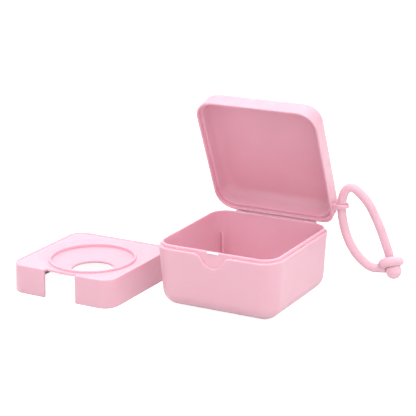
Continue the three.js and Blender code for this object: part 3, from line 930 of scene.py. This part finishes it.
def notch_cutter():
    back = NOTCH_BACK - TRAY_HALF
    front = -TRAY_HALF - TRAY_FLARE - OVERRUN
    outline = [(-NOTCH_HALF, front), (NOTCH_HALF, front)]
    side = NOTCH_HALF - NOTCH_CORNER
    outline += arc((side, back - NOTCH_CORNER), NOTCH_CORNER, 0, 90, NOTCH_STEPS)
    outline += arc((-side, back - NOTCH_CORNER), NOTCH_CORNER, 90, 180, NOTCH_STEPS)
    mesh = bmesh.new()
    bottom = [mesh.verts.new((x, y, -OVERRUN)) for x, y in outline]
    top = [mesh.verts.new((x, y, TRAY_HEIGHT + OVERRUN)) for x, y in outline]
    mesh.faces.new(bottom)
    mesh.faces.new(top)
    for index in range(len(outline)):
        after = (index + 1) % len(outline)
        mesh.faces.new((bottom[index], bottom[after], top[after], top[index]))
    bmesh.ops.recalc_face_normals(mesh, faces=mesh.faces)
    return mesh


def make_tray():
    samples = plan(TRAY_HALF, TRAY_CORNER)
    rings = []
    for kind, across, height in tray_levels():
        ring = []
        for core, normal in samples:
            if kind == "square":
                place = core + normal * (TRAY_CORNER - across)
            else:
                place = (core + normal * TRAY_CORNER).normalized() * across
            ring.append(place.to_3d() + Vector((0, 0, height)))
        rings.append(ring)
    shell = skin(rings, poles=False)
    shell = combined(shell, [notch_cutter()], "DIFFERENCE")

    def near_notch(place):
        across = abs(place.x) < NOTCH_HALF + NOTCH_SPARE
        return across and place.y < NOTCH_BACK - TRAY_HALF + NOTCH_SPARE

    shell = ease_cut(shell, NOTCH_EDGE, near_notch)
    turned_mesh(shell, Matrix.Rotation(TRAY_TURN, 4, "Z"))
    turned_mesh(shell, Matrix.Translation((TRAY_CENTRE.x, TRAY_CENTRE.y, 0)))
    return piece("tray", shell, plastic, "tray", "polypropylene", "insert_tray")


# Strap, from the eyelet's centre: x outwards in the loop's plane, y towards the hinge, z up
KEEPER_CENTRE = Vector((31.9, 0, -36.8))
KEEPER_TURN = Matrix.Rotation(KEEPER_TILT, 4, "Y") @ Matrix.Rotation(KEEPER_LEAN, 4, "X")
BALL_CENTRE = Vector((33.8, -2.74, -41.55))
BALL_TO_KEEPER = (KEEPER_CENTRE - BALL_CENTRE).normalized()
BALL_FLAT = math.asin(CORD_RADIUS / BALL_RADIUS)
NECK_START = Vector((23.7, 0, -40.9))
NECK_OVERLAP = 0.4
NECK_SEAM = 0.02
NECK_END_SHARE = 0.97
CORD_ROUTE = (
    (20.9, 0, -40.8), (18, 0, -39.75), (14.7, 0, -37.15), (11.8, 0, -34.3), (8.8, 0, -30.5),
    (6.2, 0, -26.1), (4, 0, -21.2), (2.3, 0, -16.2), (1.1, 0, -11.2), (0.3, 0, -6.2),
    (0, 0, -2.5), (0, 0, 0), (0.05, 0, 2.8), (0.7, 0, 6.4), (1.9, 0, 9.4), (3.8, 0, 11.5),
    (6, 0, 12.05), (8.2, 0, 11.2), (11.6, 0, 8.2), (14.8, 0, 4.7), (17.9, 0, 0.2),
    (21.1, 0, -6.2), (23.9, 0, -12.6), (26.4, 0, -19.1), (28.4, 0.35, -25.2),
    (29.5, 0.85, -28.6), (30.3, 1.15, -31.3), (31, 1.1, -34), (31.8, 0.1, -36.6),
)


def strap_place():
    return Matrix.Translation(EYELET) @ Matrix.Rotation(STRAP_TURN, 4, "Z")


def smooth_route(places, steps):
    """A curve through points, by the centripetal rule, with steps between each two."""
    ends = [places[0] * 2 - places[1], *places, places[-1] * 2 - places[-2]]
    route = []
    for a, b, c, d in zip(ends, ends[1:], ends[2:], ends[3:]):
        knots = [0]
        for near, far in ((a, b), (b, c), (c, d)):
            knots.append(knots[-1] + math.sqrt((far - near).length))
        for step in range(steps):
            at = knots[1] + (knots[2] - knots[1]) * step / steps
            first = a.lerp(b, (at - knots[0]) / (knots[1] - knots[0]))
            second = b.lerp(c, (at - knots[1]) / (knots[2] - knots[1]))
            third = c.lerp(d, (at - knots[2]) / (knots[3] - knots[2]))
            low = first.lerp(second, (at - knots[0]) / (knots[2] - knots[0]))
            high = second.lerp(third, (at - knots[1]) / (knots[3] - knots[1]))
            route.append(low.lerp(high, (at - knots[1]) / (knots[2] - knots[1])))
    route.append(places[-1])
    return route


def cord_line():
    """The cord's centre line, from the keeper's neck to the ball's flat."""
    start = NECK_START - Vector((CORD_GAP, 0, 0))
    end = BALL_CENTRE + BALL_TO_KEEPER * (BALL_RADIUS * math.cos(BALL_FLAT) + CORD_GAP)
    return smooth_route([start, *map(Vector, CORD_ROUTE), end], ROUTE_STEPS)


def make_keeper():
    """The thick ring with its neck, one closed mesh."""
    half = KEEPER_THICKNESS / 2
    mouth = KEEPER_HOLE + KEEPER_HOLE_ROUND
    edge = half - KEEPER_HOLE_ROUND
    profile = arc((KEEPER_RADIUS - half, 0), half, -90, 90, KEEPER_STEPS)
    profile += arc((mouth, edge), KEEPER_HOLE_ROUND, 90, 180, KEEPER_HOLE_STEPS)
    profile += arc((mouth, -edge), KEEPER_HOLE_ROUND, 180, 270, KEEPER_HOLE_STEPS)
    ring = lathe(profile, closed=True)
    place = Matrix.Translation(KEEPER_CENTRE) @ KEEPER_TURN
    turned_mesh(ring, place)
    neck_line = [
        NECK_START + Vector((NECK_LENGTH * step / NECK_STEPS, 0, 0))
        for step in range(NECK_STEPS + 1)
    ]
    neck = tube(neck_line, [CORD_RADIUS] * len(neck_line))
    cord_room = lathe([
        (0, -KEEPER_THICKNESS), (KEEPER_HOLE, -KEEPER_THICKNESS), (KEEPER_HOLE, KEEPER_THICKNESS),
        (0, KEEPER_THICKNESS),
    ])
    turned_mesh(cord_room, place)
    neck = combined(neck, [cord_room], "DIFFERENCE")
    ring = combined(ring, [neck], "UNION")
    ball_room = bmesh.new()
    bmesh.ops.create_uvsphere(
        ball_room, u_segments=BALL_ROOM_SIDES, v_segments=BALL_ROOM_SIDES // 2,
        radius=BALL_RADIUS + CORD_GAP,
    )
    turned_mesh(ball_room, Matrix.Translation(BALL_CENTRE))
    ring = combined(ring, [ball_room], "DIFFERENCE")
    turned_mesh(ring, strap_place())
    return piece("keeper", ring, rubber, "strap", "silicone", "strap_keeper")


def make_ball():
    profile = [(0, -BALL_RADIUS)]
    for step in range(1, BALL_STEPS + 1):
        angle = math.pi - step / BALL_STEPS * (math.pi - BALL_FLAT)
        profile.append((BALL_RADIUS * math.sin(angle), BALL_RADIUS * math.cos(angle)))
    profile.append((0, BALL_RADIUS * math.cos(BALL_FLAT)))
    mesh = lathe(profile)
    lean = Vector((0, 0, 1)).rotation_difference(BALL_TO_KEEPER).to_matrix().to_4x4()
    turned_mesh(mesh, strap_place() @ Matrix.Translation(BALL_CENTRE) @ lean)
    return piece("ball", mesh, rubber, "strap", "silicone", "strap_ball")


def make_strap():
    place = strap_place()
    route = [place @ point for point in cord_line()]
    into_neck = place.to_3x3() @ Vector((1, 0, 0))
    inside = route[0] + into_neck * (CORD_GAP + NECK_OVERLAP)
    seam = route[0] + into_neck * (CORD_GAP - NECK_SEAM)
    visible = [inside, seam, *route]
    radii = [CORD_RADIUS * NECK_END_SHARE] + [CORD_RADIUS] * (len(route) + 1)
    strap = piece("strap", tube(visible, radii), rubber, "strap", "silicone", "strap_cord")
    fittings = [make_keeper(), make_ball()]


# Studio: a white floor that keeps a faint shadow, a white surround and two large soft lamps
FLOOR_HALF = 3
FLOOR_CELLS = 8
FLOOR_WHITE = 0.6
FLOOR_LIFT = 0.92
SKY = 2.35
LIT_CENTRE = (-0.04, 0, 0.04)
LAMPS = (
    ("key", (1.0, -1.0, 0.5), (1.0, 0.8), 3.4),
    ("top", (0.0, 0.0, 1.3), (1.4, 1.4), 2.6),
)


def seen_rays(nodes, links):
    """1 for rays that see the surround or its mirror image, and 0 for the light that it casts."""
    path = nodes.new("ShaderNodeLightPath")
    seen = path.outputs["Is Camera Ray"]
    for ray in ("Is Glossy Ray", "Is Transmission Ray"):
        either = nodes.new("ShaderNodeMath")
        either.operation = "MAXIMUM"
        links.new(seen, either.inputs[0])
        links.new(path.outputs[ray], either.inputs[1])
        seen = either.outputs[0]
    return seen


def make_floor():
    mesh = bmesh.new()
    bmesh.ops.create_grid(mesh, x_segments=FLOOR_CELLS, y_segments=FLOOR_CELLS, size=FLOOR_HALF)
    data = bpy.data.meshes.new("floor")
    mesh.to_mesh(data)
    mesh.free()
    floor = bpy.data.objects.new("floor", data)
    bpy.context.scene.collection.objects.link(floor)
    material = bpy.data.materials.new("floor_white")
    material.use_nodes = True
    nodes = material.node_tree.nodes
    links = material.node_tree.links
    nodes.remove(nodes["Principled BSDF"])
    matt = nodes.new("ShaderNodeBsdfDiffuse")
    matt.inputs["Color"].default_value = (FLOOR_WHITE, FLOOR_WHITE, FLOOR_WHITE, 1)
    glow = nodes.new("ShaderNodeEmission")
    strength = nodes.new("ShaderNodeMath")
    strength.operation = "MULTIPLY"
    strength.inputs[1].default_value = FLOOR_LIFT
    links.new(seen_rays(nodes, links), strength.inputs[0])
    links.new(strength.outputs[0], glow.inputs["Strength"])
    both = nodes.new("ShaderNodeAddShader")
    links.new(matt.outputs[0], both.inputs[0])
    links.new(glow.outputs[0], both.inputs[1])
    links.new(both.outputs[0], nodes["Material Output"].inputs["Surface"])
    data.materials.append(material)


def make_world():
    """White where it is seen; as a light, a sky that brightens from the horizon to the zenith."""
    world = bpy.data.worlds.new("studio")
    world.use_nodes = True
    nodes = world.node_tree.nodes
    links = world.node_tree.links
    background = nodes["Background"]
    background.inputs["Color"].default_value = (1, 1, 1, 1)
    direction = nodes.new("ShaderNodeTexCoord")
    split = nodes.new("ShaderNodeSeparateXYZ")
    links.new(direction.outputs["Generated"], split.inputs[0])
    sky = nodes.new("ShaderNodeMapRange")
    sky.inputs["To Max"].default_value = SKY
    links.new(split.outputs["Z"], sky.inputs["Value"])
    level = nodes.new("ShaderNodeMapRange")
    level.inputs["To Max"].default_value = 1
    links.new(sky.outputs["Result"], level.inputs["To Min"])
    links.new(seen_rays(nodes, links), level.inputs["Value"])
    links.new(level.outputs["Result"], background.inputs["Strength"])
    bpy.context.scene.world = world


def softbox(name, place, size, power):
    data = bpy.data.lights.new(name, "AREA")
    data.shape = "RECTANGLE"
    data.size, data.size_y = size
    data.energy = power
    lamp = bpy.data.objects.new(name, data)
    lamp.location = place
    aim = Vector(LIT_CENTRE) - Vector(place)
    lamp.rotation_euler = aim.to_track_quat("-Z", "Y").to_euler()
    bpy.context.scene.collection.objects.link(lamp)


def make_studio():
    make_floor()
    make_world()
    for lamp in LAMPS:
        softbox(*lamp)
    bpy.context.scene.view_settings.view_transform = "Standard"


make_camera()
make_strap()
make_tub()
make_catch()
make_pin()
make_lid()
make_tray()
make_studio()
